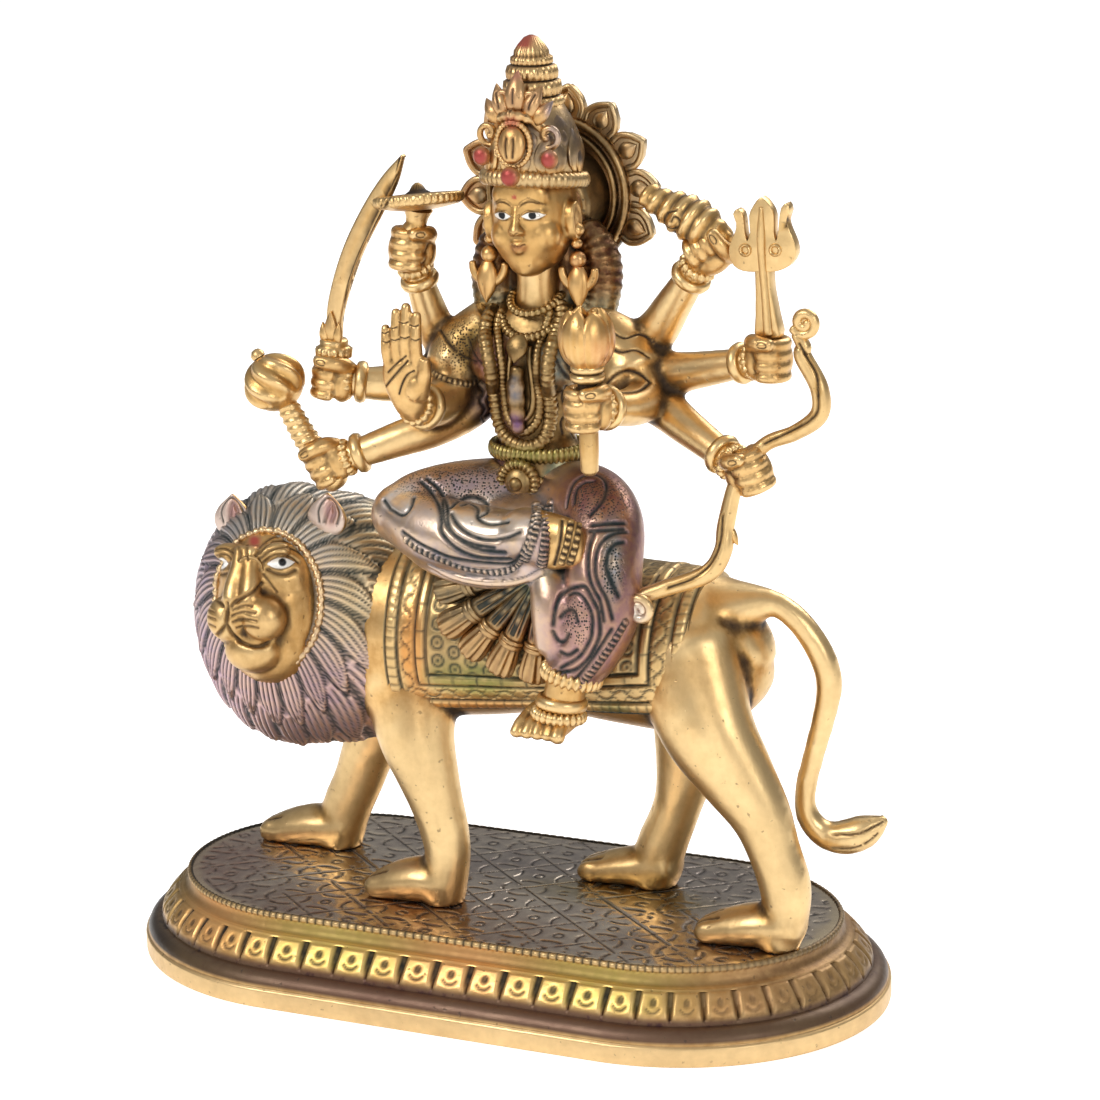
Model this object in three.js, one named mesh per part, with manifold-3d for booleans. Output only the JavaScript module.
// Eight-armed goddess riding a lion on an oval moulded plinth, cast brass.
// Millimetres, +Z up. The figure faces -Y, the lion's head is at -X, and the origin is the middle
// of the plinth's underside.
import * as THREE from 'three';
import { mergeVertices } from 'three/addons/utils/BufferGeometryUtils.js';
import Module from 'manifold-3d';

const wasm = await Module();
wasm.setup();

// ---- driving sizes ----
const BASE_HALF_LENGTH = 95; // plinth, half its length at the foot
const BASE_HALF_WIDTH = 47.3;
const BASE_END = 51.7; // how far the rounded end reaches along X
const PLATE_Z = 19.8; // top of the plinth
const WALL_Z = 4.8; // top of the plain wall at the foot
const FIGURE_HEIGHT = 205; // lion and goddess together, from the plate to the top of the crown
const PETALS = 56; // panels round the plinth
const PETAL_SLIT = 1.1; // depth of the slit between two panels
const CASTING_GAP = 0.3; // clearance between two castings

// The figures' points are drawn for a plate at DRAWN_PLATE_Z and a height of DRAWN_HEIGHT above it,
// so they keep the pose and proportions as shares of FIGURE_HEIGHT.
const DRAWN_PLATE_Z = 19.8;
const DRAWN_HEIGHT = 205;
const GROWTH = FIGURE_HEIGHT / DRAWN_HEIGHT;
const DRAWN_GAP = CASTING_GAP / GROWTH;
const LION_SIDES = 12;
const LEG_SIDES = 8;
const PAW_WIDTH = 6.4;
const TAIL_SIDES = 5;
const MANE_CENTRE = [-51.5, -5.5, 83];
const MANE_RADII = [26, 22, 32.5];
const MANE_LOCKS = 11; // locks in each ring round the face
const MANE_RINGS = 8;
const LOCK_RELIEF = 0.07; // how far the locks stand up, as a part of the mane's radius
const CLOTH_LENGTH = [-21, 54.5]; // saddle cloth along X
const CLOTH_HEM_Z = 70;
const CLOTH_THICKNESS = 1.3;

const TORSO_SIDES = 10;
const ARM_SIDES = 5;
const BANGLE_THICKNESS = 0.9;
const HEAD_CENTRE = [11.1, 2.5, 183.5];
const HEAD_RADII = [9.6, 10.8, 12.6];
const CROWN_RISE = 6.5; // from the middle of the head up to the foot of the crown
const CROWN_SIDES = 10;
const HALO_OFFSET = [-1.7, 17.5, 2.5]; // from the middle of the head
const HALO_PETALS = 10; // the lower petals are hidden by the hair and left out in the casting
const HALO_PITCH = Math.PI / 7;
const HALO_FIRST = -0.361; // radians, lowest petal on the figure's left
const HALO_TIP = 25.4;
const HALO_VALLEY = 19;
const HALO_THICKNESS = 2.6;

const BRASS = { color: 0xc9a765, roughness: 0.42, metalness: 0.85 };
const SKIRTED = { color: 0xb79a6a, roughness: 0.4, metalness: 0.8 };
const LACQUER = { color: 0x6b5136, roughness: 0.3, metalness: 0.7 };

// ---- helpers ----
const vec = (p) => new THREE.Vector3(p[0], p[1], p[2]);

function solid(geometry) {
  const g = geometry.clone();
  g.deleteAttribute('normal');
  g.deleteAttribute('uv');
  const merged = mergeVertices(g, 1e-4);
  return new wasm.Manifold(new wasm.Mesh({
    numProp: 3,
    vertProperties: new Float32Array(merged.attributes.position.array),
    triVerts: new Uint32Array(merged.index.array),
  }));
}

function unite(list) {
  return list.reduce((all, next) => all.add(next));
}

// Rings of points, joined and closed at both ends. A ring may have twice as many points as the
// one before it, or half as many.
function skin(rings, first, last) {
  const points = [...rings.flat(), first, last];
  const index = [];
  const low = points.length - 2;
  const high = points.length - 1;
  let a = 0;
  rings.forEach((ring, r) => {
    const n = ring.length;
    const step = (k) => (k + 1) % n;
    if (r === 0) for (let k = 0; k < n; k += 1) index.push(low, a + step(k), a + k);
    if (r === rings.length - 1) {
      for (let k = 0; k < n; k += 1) index.push(high, a + k, a + step(k));
      return;
    }
    const b = a + n;
    const m = rings[r + 1].length;
    for (let k = 0; k < Math.min(n, m); k += 1) {
      const next = (k + 1) % Math.min(n, m);
      if (m === n) {
        index.push(a + k, a + next, b + next, a + k, b + next, b + k);
      } else if (m > n) {
        index.push(a + k, b + 2 * k + 1, b + 2 * k, a + k, a + next, b + 2 * k + 1,
          a + next, b + 2 * next, b + 2 * k + 1);
      } else {
        index.push(b + k, a + 2 * k, a + 2 * k + 1, b + k, a + 2 * k + 1, b + next,
          b + next, a + 2 * k + 1, a + 2 * next);
      }
    }
    a = b;
  });
  const g = new THREE.BufferGeometry();
  g.setAttribute('position', new THREE.Float32BufferAttribute(points.flatMap((p) => [p.x, p.y, p.z]), 3));
  g.setIndex(index);
  return g;
}

// A limb or other long form: stations [x, y, z, half-width, half-depth] along its path. The
// half-width lies nearest to the direction given as side; dome rounds the two ends.
function loft(stations, sides, side = [0, 1, 0], dome = 0.6) {
  const path = stations.map(vec);
  const frames = path.map((p, i) => {
    const along = path[Math.min(i + 1, path.length - 1)].clone()
      .sub(path[Math.max(i - 1, 0)]).normalize();
    const wide = vec(side).addScaledVector(along, -vec(side).dot(along)).normalize();
    return { p, along, wide, deep: along.clone().cross(wide), a: stations[i][3],
      b: stations[i][4] ?? stations[i][3] };
  });
  const ring = (f, size, shift) => Array.from({ length: sides }, (_, k) => {
    const t = (k + 0.5) * 2 * Math.PI / sides;
    return f.p.clone().addScaledVector(f.along, shift)
      .addScaledVector(f.wide, size * f.a * Math.cos(t))
      .addScaledVector(f.deep, size * f.b * Math.sin(t));
  });
  const rings = frames.map((f) => ring(f, 1, 0));
  const start = frames[0];
  const end = frames[frames.length - 1];
  const reach = (f) => dome * Math.min(f.a, f.b);
  if (dome > 0) {
    rings.unshift(ring(start, 0.72, -0.7 * reach(start)));
    rings.push(ring(end, 0.72, 0.7 * reach(end)));
  }
  const g = skin(rings, start.p.clone().addScaledVector(start.along, -reach(start)),
    end.p.clone().addScaledVector(end.along, reach(end)));
  return solid(g);
}

function ball(centre, radii, turn = 0, wide = 10, high = 6) {
  const g = new THREE.SphereGeometry(1, wide, high);
  g.rotateX(Math.PI / 2);
  g.scale(radii[0], radii[1], radii[2]);
  g.rotateY(turn);
  g.translate(centre[0], centre[1], centre[2]);
  return solid(g);
}

// A turned form: profile [radius, distance] along a line from one point towards another.
function turned(profile, from, towards, sides = 12) {
  const g = new THREE.LatheGeometry(profile.map(([r, h]) => new THREE.Vector2(r, h)), sides);
  const aim = vec(towards).sub(vec(from)).normalize();
  g.applyQuaternion(new THREE.Quaternion().setFromUnitVectors(new THREE.Vector3(0, 1, 0), aim));
  g.translate(from[0], from[1], from[2]);
  const index = g.index ? [...g.index.array] : null;
  const body = solid(g);
  if (body.volume() > 0 || !index) return body;
  for (let i = 0; i < index.length; i += 3) [index[i + 1], index[i + 2]] = [index[i + 2], index[i + 1]];
  g.setIndex(index);
  return solid(g);
}

// A flat form lying in X and Z, its front face at y = front.
function slab(outline, front, thickness) {
  const shape = new THREE.Shape(outline.map(([x, z]) => new THREE.Vector2(x, z)));
  const g = new THREE.ExtrudeGeometry(shape, { depth: thickness, bevelEnabled: false });
  g.rotateX(Math.PI / 2);
  g.translate(0, front + thickness, 0);
  return solid(g);
}

function block(low, high) {
  const g = new THREE.BoxGeometry(high[0] - low[0], high[1] - low[1], high[2] - low[2]);
  g.translate((low[0] + high[0]) / 2, (low[1] + high[1]) / 2, (low[2] + high[2]) / 2);
  return solid(g);
}

const mix = (p, q, t) => p.map((v, i) => v + (q[i] - v) * t);

function toMesh(name, body, finish) {
  const m = body.getMesh();
  const g = new THREE.BufferGeometry();
  g.setAttribute('position', new THREE.BufferAttribute(new Float32Array(m.vertProperties), 3));
  g.setIndex(new THREE.BufferAttribute(new Uint32Array(m.triVerts), 1));
  g.computeVertexNormals();
  const mesh = new THREE.Mesh(g, new THREE.MeshStandardMaterial(finish));
  mesh.name = name;
  return mesh;
}

// ---- plinth ----
// Outline of the oval, moved in by inset: two straight sides and half-ellipse ends.
function ovalRing(inset, z, count, slit = 0) {
  const half = BASE_HALF_LENGTH - inset;
  const wide = BASE_HALF_WIDTH - inset;
  const end = BASE_END - inset / 2;
  const straight = half - end;
  const arc = Math.PI * (3 * (wide + end) - Math.sqrt((3 * wide + end) * (wide + 3 * end))) / 4;
  const quarter = arc + straight;
  return Array.from({ length: count }, (_, k) => {
    const s = ((k + 0.5) / count) * 4 * quarter;
    const turn = Math.floor(s / quarter);
    const along = turn % 2 === 1 ? (turn + 1) * quarter - s : s - turn * quarter;
    const depth = slit * (k % 2);
    const t = Math.min(along / arc, 1) * Math.PI / 2;
    const x = straight + (end - depth) * Math.cos(t) - Math.max(along - arc, 0);
    const y = (wide - depth) * Math.sin(t);
    return new THREE.Vector3(turn === 1 || turn === 2 ? -x : x, turn >= 2 ? -y : y, z);
  });
}

// Rings of the moulding: [how far in, height as a share of the moulding, rings of panels, slit].
const MOULDING = [
  [0, 0, 1, 0], [1.3, 0.16, 1, 0], [3.9, 0.27, 1, 0], [4.1, 0.295, 2, 0], [5.2, 0.48, 2, 1],
  [8.2, 0.675, 2, 0.6], [9.4, 0.72, 1, 0], [11.4, 0.895, 1, 0], [12, 0.92, 1, 0], [12, 1, 1, 0],
];

function plinthBody() {
  const rings = [ovalRing(0, 0, PETALS), ...MOULDING.map(([inset, rise, panels, slit]) => ovalRing(
    inset, WALL_Z + rise * (PLATE_Z - WALL_Z), panels * PETALS, slit * PETAL_SLIT))];
  return solid(skin(rings, new THREE.Vector3(0, 0, 0), new THREE.Vector3(0, 0, PLATE_Z)));
}

// ---- lion ----
// Stations along X: [x, y, z, half-width, half-height].
const LION_TRUNK = [
  [-44, -2, 82, 17, 22], [-31, 0, 81.5, 18.5, 24.5], [-17, 0, 83.5, 19.4, 22],
  [0, 0, 84.5, 19.5, 20.4], [17, 0, 85.3, 19, 18.6], [35, 0, 84.3, 18.5, 18.8],
  [49, 0, 84, 17.6, 18.8], [56.4, 0, 86, 14.4, 16.2], [61, 0, 90, 9, 10.6],
];
// Legs from the body down: [x, y, z, half-width across, half-depth along the lion].
const NEAR_HIND = [
  [54, -9, 84, 11, 14], [57.4, -12.5, 71, 9, 11.5], [64.4, -13, 60.5, 7.6, 9.4],
  [70.4, -13, 51.5, 6.4, 7.4], [73.6, -13, 43.5, 5.6, 6.3], [76.4, -13, 35, 5.4, 6.2],
  [76.6, -13, 28, 5.6, 5.4], [74.5, -13, 21, 5.8, 5.2],
];
const FAR_HIND = [
  [45, 9, 78, 10, 13], [44, 12.5, 66, 8, 11], [42.5, 13.5, 56, 6.8, 9],
  [39.7, 14, 44, 5.8, 6.3], [37.3, 14, 36.8, 5.4, 5.9], [34.5, 14, 30, 5.6, 6.2],
  [32, 14, 21, 5.8, 6],
];
const NEAR_FORE = [
  [-19, -10, 70, 9, 12], [-16.6, -13, 60, 7.4, 9.8], [-13.6, -14, 51.5, 6.4, 7.9],
  [-11.4, -14, 44.3, 5.8, 6.6], [-9.7, -14, 38, 5.4, 6.1], [-8.9, -14, 31, 5.4, 5.5],
  [-10.5, -14, 21, 5.8, 5.4],
];
const FAR_FORE = [
  [-33, 9, 66, 8, 11], [-38, 11.5, 54, 7, 8.4], [-42.5, 12, 46, 6, 7],
  [-46, 12, 37.4, 5.4, 6.4], [-49.5, 12, 30, 5.4, 6.3], [-52, 12, 21, 5.8, 5.8],
];
// Paws: heel to toe, [x, z, half-height].
const PAWS = [
  { y: -13, line: [[79, 26, 4.5], [70, 24.5, 5.2], [62, 22.8, 4.3], [57, 21.2, 3]] },
  { y: 14, line: [[37, 25, 4.5], [29, 24, 4.8], [21, 22.5, 4.2], [15.5, 21, 3]] },
  { y: -14, line: [[-8, 25, 4.2], [-15, 24.6, 5.6], [-22, 23.2, 4.9], [-28, 21.2, 3.4]] },
  { y: 12, line: [[-49, 25, 4.4], [-57.5, 24, 5.4], [-65, 22.5, 4.8], [-71, 21, 3.2]] },
];
const TAIL = [
  [62, 0, 97, 3.6], [69, 0, 97.8, 3], [75.4, 0.5, 93.6, 3], [80.4, 1.2, 86, 3.2], [82, 1.6, 79, 3.1],
  [80.8, 1, 71, 2.8], [78.6, 0, 62, 2.6], [77, -1, 54, 2.6], [77.4, -1, 48, 2.8], [81, 0, 43.4, 3.3],
  [86.2, 1, 43, 4.2], [91, 2, 45, 3.9], [95.4, 3, 48, 1.2],
];

// The mane: an ellipsoid whose skin rises and falls in staggered rings of locks round the face.
function maneBody() {
  const sides = 2 * MANE_LOCKS;
  const at = (back, angle, lift) => new THREE.Vector3(
    MANE_CENTRE[0] + lift * MANE_RADII[0] * Math.sin(back) * Math.sin(angle),
    MANE_CENTRE[1] - lift * MANE_RADII[1] * Math.cos(back),
    MANE_CENTRE[2] + lift * MANE_RADII[2] * Math.sin(back) * Math.cos(angle),
  );
  const rings = Array.from({ length: MANE_RINGS }, (_, r) => {
    const back = Math.PI * (0.2 + 0.66 * r / (MANE_RINGS - 1));
    return Array.from({ length: sides }, (__, k) => {
      const raised = (k + Math.floor(r / 2)) % 2 === 0;
      const tip = r % 2 === 1 ? 0.6 : 1;
      return at(back, (k / sides) * 2 * Math.PI, raised ? 1 + LOCK_RELIEF * tip : 1 - LOCK_RELIEF * 0.4);
    });
  });
  return [
    solid(skin(rings, at(0, 0, 0.94), at(Math.PI, 0, 0.9))),
    ball([-38, -1, 83], [19, 18.6, 27], 0, 14, 8),
  ];
}

function lionFace() {
  const parts = [
    ball([-52.3, -14, 90.5], [14.4, 14, 17], 0, 12, 8),
    ball([-50.6, -25, 95], [5.6, 9.4, 7], 0, 8, 6),
    ball([-52.3, -26.5, 83.5], [7, 8, 5.2], 0, 8, 6),
  ];
  for (const side of [-1, 1]) {
    parts.push(ball([-51.2 + 5.4 * side, -29.5, 91.3], [6, 5.6, 5.2], 0, 8, 6));
    parts.push(ball([-50.8 + 15 * side, -11, 111.6 + side], [5.2, 3, 6.4], 0.35 * side, 6, 5));
  }
  return parts;
}

// Saddle cloth: the trunk's own skin, a little thicker, between the two ends and above the hem.
function saddleCloth() {
  const outer = LION_TRUNK.map(([x, y, z, a, b]) => [x, y, z, a + CLOTH_THICKNESS,
    b + CLOTH_THICKNESS]);
  const [x0, x1] = CLOTH_LENGTH;
  return loft(outer, LION_SIDES)
    .intersect(block([x0, -DRAWN_HEIGHT, CLOTH_HEM_Z], [x1, DRAWN_HEIGHT, DRAWN_HEIGHT]));
}

function lionBody() {
  const paws = PAWS.map(({ y, line }) => loft(line.map(([x, z, h]) => [x, y, z, PAW_WIDTH * (0.6
    + h / 13), h]), LEG_SIDES, [0, 1, 0], 0.5));
  const body = unite([
    loft(LION_TRUNK, LION_SIDES),
    saddleCloth(),
    ...[NEAR_HIND, FAR_HIND, NEAR_FORE, FAR_FORE].map((leg) => loft(leg, LEG_SIDES)),
    ...paws,
    loft(TAIL, TAIL_SIDES, [0, 1, 0], 0.3),
    ...maneBody(),
    ...lionFace(),
  ]);
  return body.subtract(block([-DRAWN_HEIGHT, -DRAWN_HEIGHT, -DRAWN_PLATE_Z],
    [DRAWN_HEIGHT, DRAWN_HEIGHT, DRAWN_PLATE_Z + DRAWN_GAP]));
}

// ---- goddess ----
const TORSO = [
  [12.5, 1, 103, 11.5, 11], [12.6, 0.5, 116, 13.5, 12], [11.4, 1, 122.6, 11.8, 9.8],
  [11.2, 1.1, 123, 12.8, 10.8], [10.8, 1.3, 127, 11.8, 9.8], [10.6, 1.4, 127.3, 10, 8.2],
  [10.4, 1.6, 128.4, 10.6, 8.6], [10.3, 1.7, 131.2, 10.3, 8.2], [10.2, 1.8, 131.6, 9.3, 7.2],
  [9.8, 2.4, 141, 10.8, 7.8], [9.8, 3, 150, 13, 8.4], [10.6, 3.4, 157, 14.5, 7.2],
  [11, 3.4, 161.5, 9, 5.6], [11, 3, 165, 5.2, 5.2], [11.2, 2.6, 172, 5, 5],
];
// Arms from shoulder to wrist: [x, y, z, radius].
const ARMS = {
  disc: [[-1, 6, 155, 6], [-10.5, 6, 150.5, 5.6], [-15, 4.5, 152.5, 4.8], [-16.4, 1.5, 160, 4],
    [-17.6, -3, 171.5, 3]],
  sword: [[-1, 6, 151, 5.5], [-12, 4, 146, 5.2], [-19.5, 0, 143.4, 4.8], [-27, -4, 142.8, 4.2],
    [-35, -7.6, 143.8, 3.2]],
  palm: [[-2.5, 4, 156.5, 6.4], [-8, 1, 150, 6.4], [-9, -4, 142, 5.4], [-10.4, -11, 139.8, 4.6],
    [-12, -17, 141.8, 3.6]],
  mace: [[-1, 6, 147, 5.4], [-5.5, 1.5, 138.6, 5.2], [-12.5, -5, 134, 4.8], [-20.8, -9.6, 131, 4.2],
    [-32.6, -13.8, 126.6, 3.2]],
  conch: [[23, 6, 155, 6], [32.5, 8, 153, 5.8], [38.5, 7, 157.5, 5], [44.4, 4, 165, 4.2],
    [52, 0.6, 175, 3.2]],
  trident: [[24, 6, 151, 5.6], [34, 7, 148, 5.6], [42.5, 4.6, 148.4, 5], [52, 1.5, 150.6, 4.2],
    [66.6, -2, 154.4, 3.2]],
  bow: [[23, 6, 147, 5.6], [33, 5, 143.6, 5.4], [42, 1, 141.4, 4.9], [50.5, -4, 138.2, 4.2],
    [64.4, -10.6, 132.6, 3.2]],
  lotus: [[24, 4, 157, 6.4], [33, 2.5, 151.5, 6.6], [38.8, -2, 144.4, 5.2], [39.8, -12, 144, 4.4],
    [37.6, -25.6, 146.8, 3.6]],
};
const SLEEVES = [
  [[-0.5, 3.4, 157.5, 6.8], [-7.5, 2, 151.5, 7.4], [-9.4, -0.6, 146.6, 7.2]],
  [[22.5, 3.4, 157.5, 6.8], [31, 3.5, 153, 7.6], [36, 1, 147.8, 7.2]],
];
// Fists: centre and direction of the shaft held.
const FISTS = [
  { at: [-18, -4.5, 175.4], shaft: [0.1, 0.1, 1] },
  { at: [-37.8, -8.5, 144.4], shaft: [0.12, 0.1, 1] },
  { at: [-36.6, -15, 125.2], shaft: [-0.5, 0, 0.87] },
  { at: [54.8, 0, 179.4], shaft: [0.8, 0, 0.55] },
  { at: [70.6, -3.4, 155.4], shaft: [0, 0, 1] },
  { at: [69, -12.4, 131.8], shaft: [0.35, 0.1, -0.93] },
  { at: [36, -28, 147], shaft: [0, 0, 1] },
];
const FIST_SIZE = 4.8;
const FIST_SIDES = 5;
const LIMB_SIDES = 8; // the two legs under the skirt
const FINGERS = 4;
const FINGER_PITCH = 2.5;

// A closed hand: four fingers stacked along the shaft, so the form swells four times.
function fist({ at, shaft }) {
  const line = vec(shaft).normalize();
  const stations = Array.from({ length: 2 * FINGERS + 1 }, (_, k) => {
    const c = vec(at).addScaledVector(line, (k - FINGERS) * FINGER_PITCH / 2);
    const r = k % 2 === 1 ? FIST_SIZE : FIST_SIZE * 0.86;
    return [c.x, c.y, c.z, r, r];
  });
  return loft(stations, FIST_SIDES, [0.3, 1, 0.1], 0);
}

// An arm with the bangle standing up round its wrist.
function arm(stations) {
  const [before, end] = stations.slice(-2);
  const at = (t, more) => {
    const c = mix(before, end, t);
    return [c[0], c[1], c[2], c[3] + more];
  };
  return loft([...stations.slice(0, -1), at(0.4, 0), at(0.42, BANGLE_THICKNESS),
    at(0.72, BANGLE_THICKNESS), end], ARM_SIDES, [0, 0.3, 1], 0);
}

// Legs under the skirt: [x, y, z, half-width, half-depth].
const FOLDED_THIGH = [[6, -1, 116, 11], [-4, -8, 117.6, 9.4], [-12, -13, 117.4, 8], [-16.4, -16, 116, 7]];
const FOLDED_SHIN = [[-16, -16.5, 115.6, 6.6], [-8, -21, 114, 8], [2, -23, 113, 8.4],
  [12, -24, 113.4, 7.6], [20, -25, 115.4, 5.6]];
const FOLDED_FOOT = [[20, -25.5, 116.2, 4.6], [27, -27, 115, 4.2], [32.5, -28, 111.5, 4.4],
  [34, -28.5, 107.4, 3.6]];
const HANGING_LEG = [[20, -2, 117, 10.5], [28.6, -9, 118.6, 9.6], [35, -16.5, 116.4, 8.8],
  [37, -22, 109, 8.6], [37, -24.5, 99, 8.8], [34.2, -26.5, 91, 7.4], [32, -27.4, 87, 6.2],
  [31.9, -27.4, 86.8, 7.2], [31, -28, 84, 7]];
const ANKLE = [[30.6, -28.2, 85, 4.8], [29.2, -28.8, 80, 4.8], [29.1, -28.8, 79.8, 5.9],
  [28.7, -29, 77, 5.9], [28.6, -29, 76.8, 4.7], [28, -29.5, 74, 4.6]];
const FAN_ORIGIN = [24, -24.8, 108.6];
const FAN_ENDS = [[-4.6, -22, 99.4], [-3, -22.4, 91], [2.6, -22.6, 85.6], [10.4, -22.8, 82.2], [19, -23, 80.8]];

function lowerBody() {
  const pleats = FAN_ENDS.map((end) => loft([[...FAN_ORIGIN, 1.6, 2.2],
    [...mix(FAN_ORIGIN, end, 0.72), 2.8, 2.2], [...mix(FAN_ORIGIN, end, 0.76), 3.4, 2.8],
    [...end, 4, 2.4]], 5, [0.7, 0, -0.7], 0));
  const hem = [[-15, -18.5, 109.4], [-7, -23, 106.6], [2, -25.6, 105], [12, -27, 105], [20, -28, 107.6],
    [24.6, -28.4, 113]].map((p) => [...p, 1.4]);
  return [
    loft(FOLDED_THIGH, LIMB_SIDES), loft(FOLDED_SHIN, LIMB_SIDES), loft(FOLDED_FOOT, ARM_SIDES),
    loft(HANGING_LEG, LIMB_SIDES, [1, 0, 0]), loft(ANKLE, ARM_SIDES, [1, 0, 0]),
    loft([[28, -26.5, 73.4, 4.6, 4], [26.6, -31.5, 72.6, 6.4, 3.8], [26, -34, 71.8, 6.6, 3]],
      ARM_SIDES, [1, 0, 0]),
    loft(hem, 5), ...pleats,
  ];
}

function ornaments() {
  const chainAt = (t) => [9.8 + 7.6 * Math.cos(t), -6.4 - 1.2 * Math.abs(Math.cos(t)),
    146.5 + 14.6 * Math.sin(t), 1.5, 1.1];
  const garland = Array.from({ length: 11 }, (_, k) => chainAt(Math.PI * (0.92 + 1.16 * k / 10)));
  const collar = Array.from({ length: 7 }, (_, k) => {
    const t = Math.PI * (1 + k / 6);
    return [11 + 8 * Math.cos(t), 1.4 + 7.6 * Math.sin(t), 163.6 + 4.4 * Math.sin(t), 1.3, 1.1];
  });
  return [
    loft(garland, 5, [0, 1, 0]), loft(collar, 5, [0, 0, 1]),
    ball([10.6, -9.2, 123], [5, 2.4, 5], 0, 8, 5),
    ball([9.6, -5.6, 140], [2.2, 2, 6.4], 0, 6, 5),
    ball([2.4, -4.2, 151], [6.4, 5.6, 6.6], 0, 8, 5), ball([17.8, -4.2, 151], [6.4, 5.6, 6.6], 0, 8, 5),
  ];
}

function headAndCrown() {
  const [hx, hy, hz] = HEAD_CENTRE;
  const profile = [[0, 0], [12.4, 0], [12.9, 7], [12.2, 11.4], [10.4, 15.4], [7.6, 19.4], [6.4, 21],
    [6.3, 24.6], [5.6, 25.4], [5.5, 28], [4.4, 28.6], [4.4, 30.2], [3.2, 32.8], [0, 34.7]];
  const crownZ = hz + CROWN_RISE;
  const front = (x, up, out, r) => ball([hx + x, hy - out, crownZ + up], r, 0, 6, 4);
  const parts = [
    ball(HEAD_CENTRE, HEAD_RADII, 0, 12, 8),
    ball([hx, hy - 4.6, hz - 5.4], [6.6, 5.6, 5.2], 0, 8, 5),
    loft([[hx, hy - 9.4, hz + 4, 1.2, 1], [hx, hy - 11.6, hz - 1.6, 1.9, 1.3]], 5, [1, 0, 0], 0),
    loft([[hx - 3.2, hy - 8.6, hz - 5, 0.8], [hx, hy - 10.2, hz - 5, 1.5], [hx + 3.2, hy - 8.6, hz - 5, 0.8]],
      5, [0, 0, 1], 0),
    turned(profile, [hx, hy, crownZ], [hx, hy, crownZ + 1], CROWN_SIDES),
    loft([[hx, hy + 6, hz + 2, 9.5, 8], [hx - 0.6, hy + 16, hz + 2, 13, 12]], 10, [1, 0, 0], 0),
    front(0, 11.4, 12, [4.4, 2.6, 6]), front(0, 3.4, 12.4, [2.5, 2, 2.6]),
    front(0, 21.4, 6.4, [1.8, 1.8, 5]),
  ];
  for (const side of [-1, 1]) {
    parts.push(
      front(4.6 * side, 18.8, 6.4, [2, 2.4, 4]),
      front(9.6 * side, 9.4, 8, [3.4, 3, 3.8]),
      loft([[hx + 10 * side, hy, hz + 1.4, 1.6, 2.4], [hx + 11 * side, hy - 1, hz - 5, 2.2, 3],
        [hx + 10.6 * side, hy - 1.6, hz - 9.4, 2, 2], [hx + 11 * side, hy - 2, hz - 12.6, 3.6, 2.6],
        [hx + 11.6 * side, hy - 3, hz - 18.6, 0.8, 0.9]], 6, [1, 0, 0], 0.3),
      loft([[hx + 9.6 * side, hy + 8.5, hz - 3, 3, 3], [hx + 13.6 * side, hy + 5.3, hz - 13.6, 5, 4],
        [hx + 13 * side, hy + 3.5, hz - 21.4, 5.4, 4]], 6, [1, 0, 0], 0.2),
    );
  }
  return parts;
}

function halo() {
  const [cx, cy, cz] = HEAD_CENTRE.map((v, i) => v + HALO_OFFSET[i]);
  const outline = [];
  const at = (r, t) => [cx + r * Math.cos(t), cz + r * Math.sin(t)];
  for (let k = 0; k < HALO_PETALS; k += 1) {
    const t = HALO_FIRST + k * HALO_PITCH;
    outline.push(at(HALO_VALLEY, t - HALO_PITCH / 2), at(23.2, t - HALO_PITCH * 0.34), at(HALO_TIP, t),
      at(23.2, t + HALO_PITCH * 0.34));
  }
  const last = HALO_FIRST + (HALO_PETALS - 0.5) * HALO_PITCH;
  const rest = 2 * Math.PI - HALO_PETALS * HALO_PITCH;
  for (let k = 0; k <= 6; k += 1) outline.push(at(HALO_VALLEY, last + rest * k / 6.5));
  const rim = [[0, -1.6], [18, -1.6], [18, 2.4], [16.4, 3.4], [14.6, 2.4], [14, 0.4], [0, 0.4]];
  return [
    slab(outline, cy - HALO_THICKNESS / 2, HALO_THICKNESS),
    turned(rim, [cx, cy, cz], [cx, cy - 1, cz], 14),
  ];
}

// A narrow flat form that tapers and bends: centre line [x, z, half-width], cut as one outline.
function blade(line, front, thickness) {
  const left = [];
  const right = [];
  line.forEach(([x, z, w], i) => {
    const a = line[Math.max(i - 1, 0)];
    const b = line[Math.min(i + 1, line.length - 1)];
    const l = Math.hypot(b[0] - a[0], b[1] - a[1]);
    const nx = (b[1] - a[1]) / l;
    const nz = -(b[0] - a[0]) / l;
    left.push([x - nx * w, z - nz * w]);
    right.push([x + nx * w, z + nz * w]);
  });
  return slab([...left, ...right.reverse()], front, thickness);
}

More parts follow.
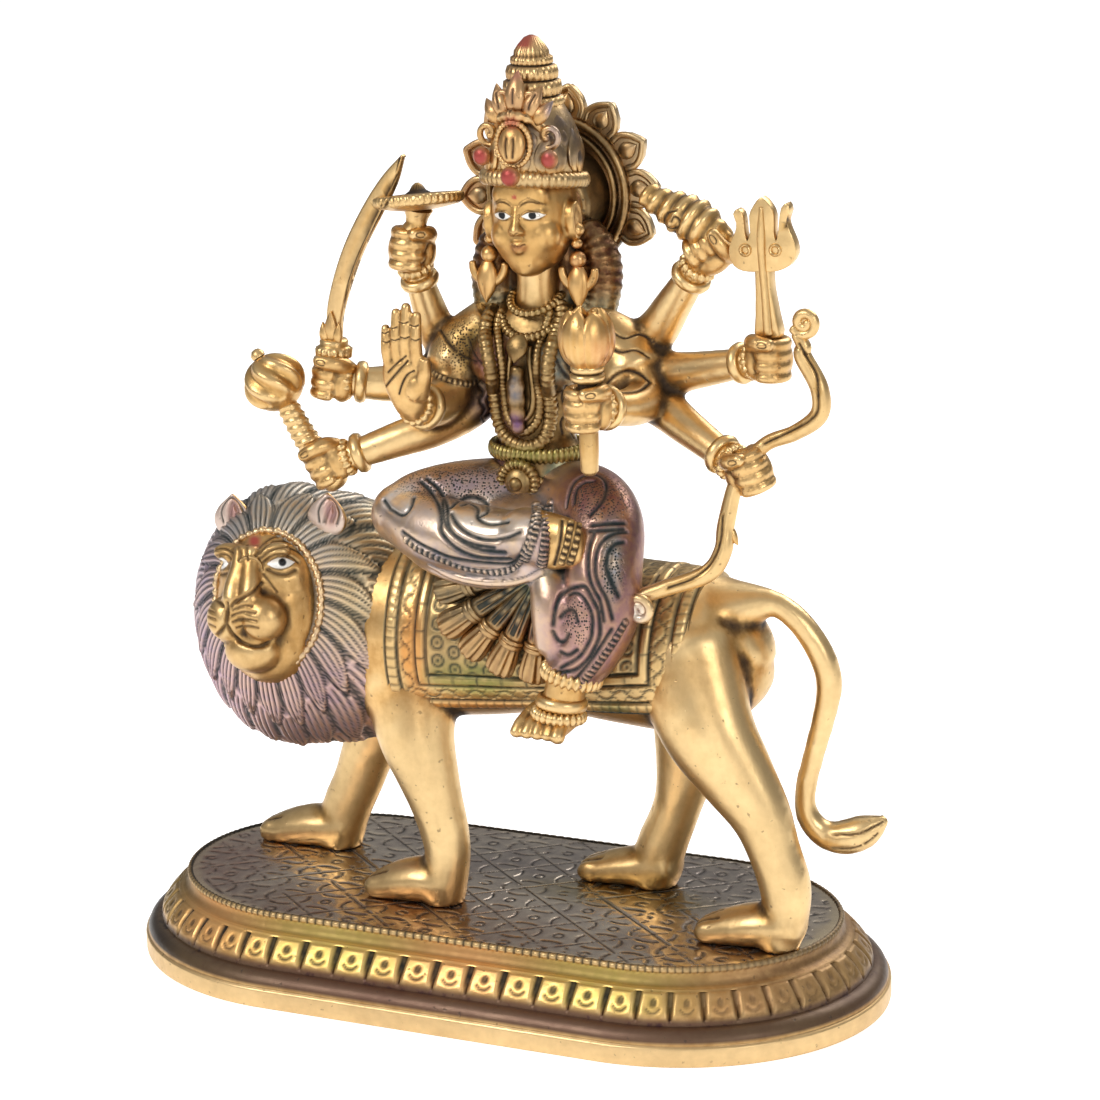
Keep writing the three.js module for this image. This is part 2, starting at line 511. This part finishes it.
function attributes() {
  const disc = [[0, -2], [6.2, -2], [10.2, 0], [10.2, 1.2], [9, 1.8], [2, 1.8], [0, 4]];
  const maceHead = [[0, -6.4], [3.2, -6], [3.4, -4.6], [6.2, -3], [7.2, 0.4], [6.4, 3.6], [3.2, 6.2],
    [0, 9]];
  const bud = [[0, 0], [2.4, 0], [3.8, 1.4], [3.6, 2.8], [5.4, 6], [6, 10], [4.4, 15], [0, 17.4]];
  const shell = [[0, 0], [3, 1], [3.2, 6], [4.8, 10], [5, 16], [2.6, 21.4], [0, 23.4]];
  const bow = [[80.6, -12, 166], [84.4, -12, 165.4], [82.6, -12, 161.6], [81, -12, 158.6],
    [86, -12, 151.6], [85.6, -12, 145.6], [78.6, -12, 141.4], [72.4, -12, 138], [66.4, -12.6, 132],
    [63.8, -14.4, 120], [63.6, -15.8, 113.6], [60, -17.2, 108.4], [51, -20.4, 105], [45, -22.8, 102.6],
    [47, -23.4, 98.8]].map((p) => [...p, 1.4, 1.6]);
  return [
    turned(disc, [-16, -5, 186], [-15.8, -5.2, 187], 14),
    turned([[0, 0], [3, 0], [2.4, 6], [0, 6]], [-17, -4.8, 178.6], [-16.7, -4.8, 179.6], 6),
    blade([[-36.4, 153, 1.6], [-36, 160, 2.1], [-33.6, 168, 2.3], [-30, 176.4, 2.4], [-25, 185, 2.4],
      [-20.4, 192, 2], [-16.8, 197.8, 0.5]], -9.4, 2.6),
    turned([[0, 0], [3.2, 0], [4.4, 2.4], [2.6, 4.6], [3.4, 7], [1.6, 10.6], [0, 11]], [-37, -8.3, 147],
      [-36.9, -8.3, 148], 7),
    turned([[0, 0], [2.6, 0], [2.2, 5], [0, 5]], [-38.6, -9, 137.6], [-38.5, -9, 138.6], 6),
    turned(maceHead, [-49, -15, 143.4], [-49.6, -15, 144.5], 8),
    loft([[-47, -15, 139.6, 2.2], [-41.4, -15, 130.6, 2.6], [-31.6, -15, 119.4, 3.6]], 6),
    turned(shell, [39.4, -0.6, 187.6], [62, -1, 185.6], 8),
    turned([[0, 0], [2.4, 0], [1.9, 8], [2.2, 20], [3.4, 23], [2.6, 25], [0, 25]], [69.4, -3.6, 149.6],
      [69, -4, 175], 7),
    slab([[66.4, 174], [63.6, 176.6], [61.4, 181], [61, 188.4], [63.4, 186.6], [64, 182], [66.4, 179.6],
      [66.2, 187], [69, 192], [71.8, 187], [71.4, 179.6], [74, 182.4], [75, 189.8], [76.8, 189],
      [77, 182], [74.8, 177], [71.6, 174]], -5.2, 2.6),
    loft(bow, 5, [0, 1, 0], 0),
    turned(bud, [36.8, -28, 154.8], [36.8, -28, 156], 8),
    turned([[0, 0], [1.6, 0], [2.4, 3], [2.3, 24], [0, 24]], [36.6, -28, 132.8], [36.8, -28, 156], 7),
  ];
}

function openPalm() {
  const fingers = [[-15.8, 160.8, 1.5], [-13.3, 164.6, 1.6], [-10.7, 165.8, 1.6], [-8.2, 164.6, 1.5]];
  return [
    loft([[-12, -18.6, 141, 4.2, 3], [-12.2, -20.4, 147, 5.4, 2.6], [-12, -21, 153.4, 5.2, 2.1]],
      ARM_SIDES, [1, 0, 0]),
    loft([[-8.6, -20, 145, 1.9], [-6.6, -21.4, 150.4, 1.6], [-6.6, -21.6, 154, 1.3]], 5),
    ...fingers.map(([x, z, r], k) => loft([[-15.4 + 2.35 * k, -21, 152, r], [x, -21.8, z, r * 0.7]], 5,
      [0, 1, 0], 0)),
  ];
}

function goddessBody() {
  const clear = CLOTH_THICKNESS + DRAWN_GAP;
  const seat = loft(LION_TRUNK.map(([x, y, z, a, b]) => [x, y, z, a + clear, b + clear]), LION_SIDES);
  return unite([
    loft(TORSO, TORSO_SIDES, [1, 0, 0], 0),
    ...Object.values(ARMS).map(arm),
    ...SLEEVES.map((s) => loft(s, 8, [0, 0.3, 1], 0)),
    ...FISTS.map(fist),
    ...lowerBody(), ...ornaments(), ...headAndCrown(), ...halo(), ...attributes(), ...openPalm(),
  ]).subtract(seat);
}

// Puts a figure on the plate at its real size.
const onPlate = (body) => body.translate([0, 0, -DRAWN_PLATE_Z]).scale(GROWTH)
  .translate([0, 0, PLATE_Z]);

const group = new THREE.Group();
group.name = 'durga_figure';
group.add(toMesh('plinth', plinthBody(), LACQUER));
group.add(toMesh('lion', onPlate(lionBody()), BRASS));
group.add(toMesh('goddess', onPlate(goddessBody()), SKIRTED));
export default group;
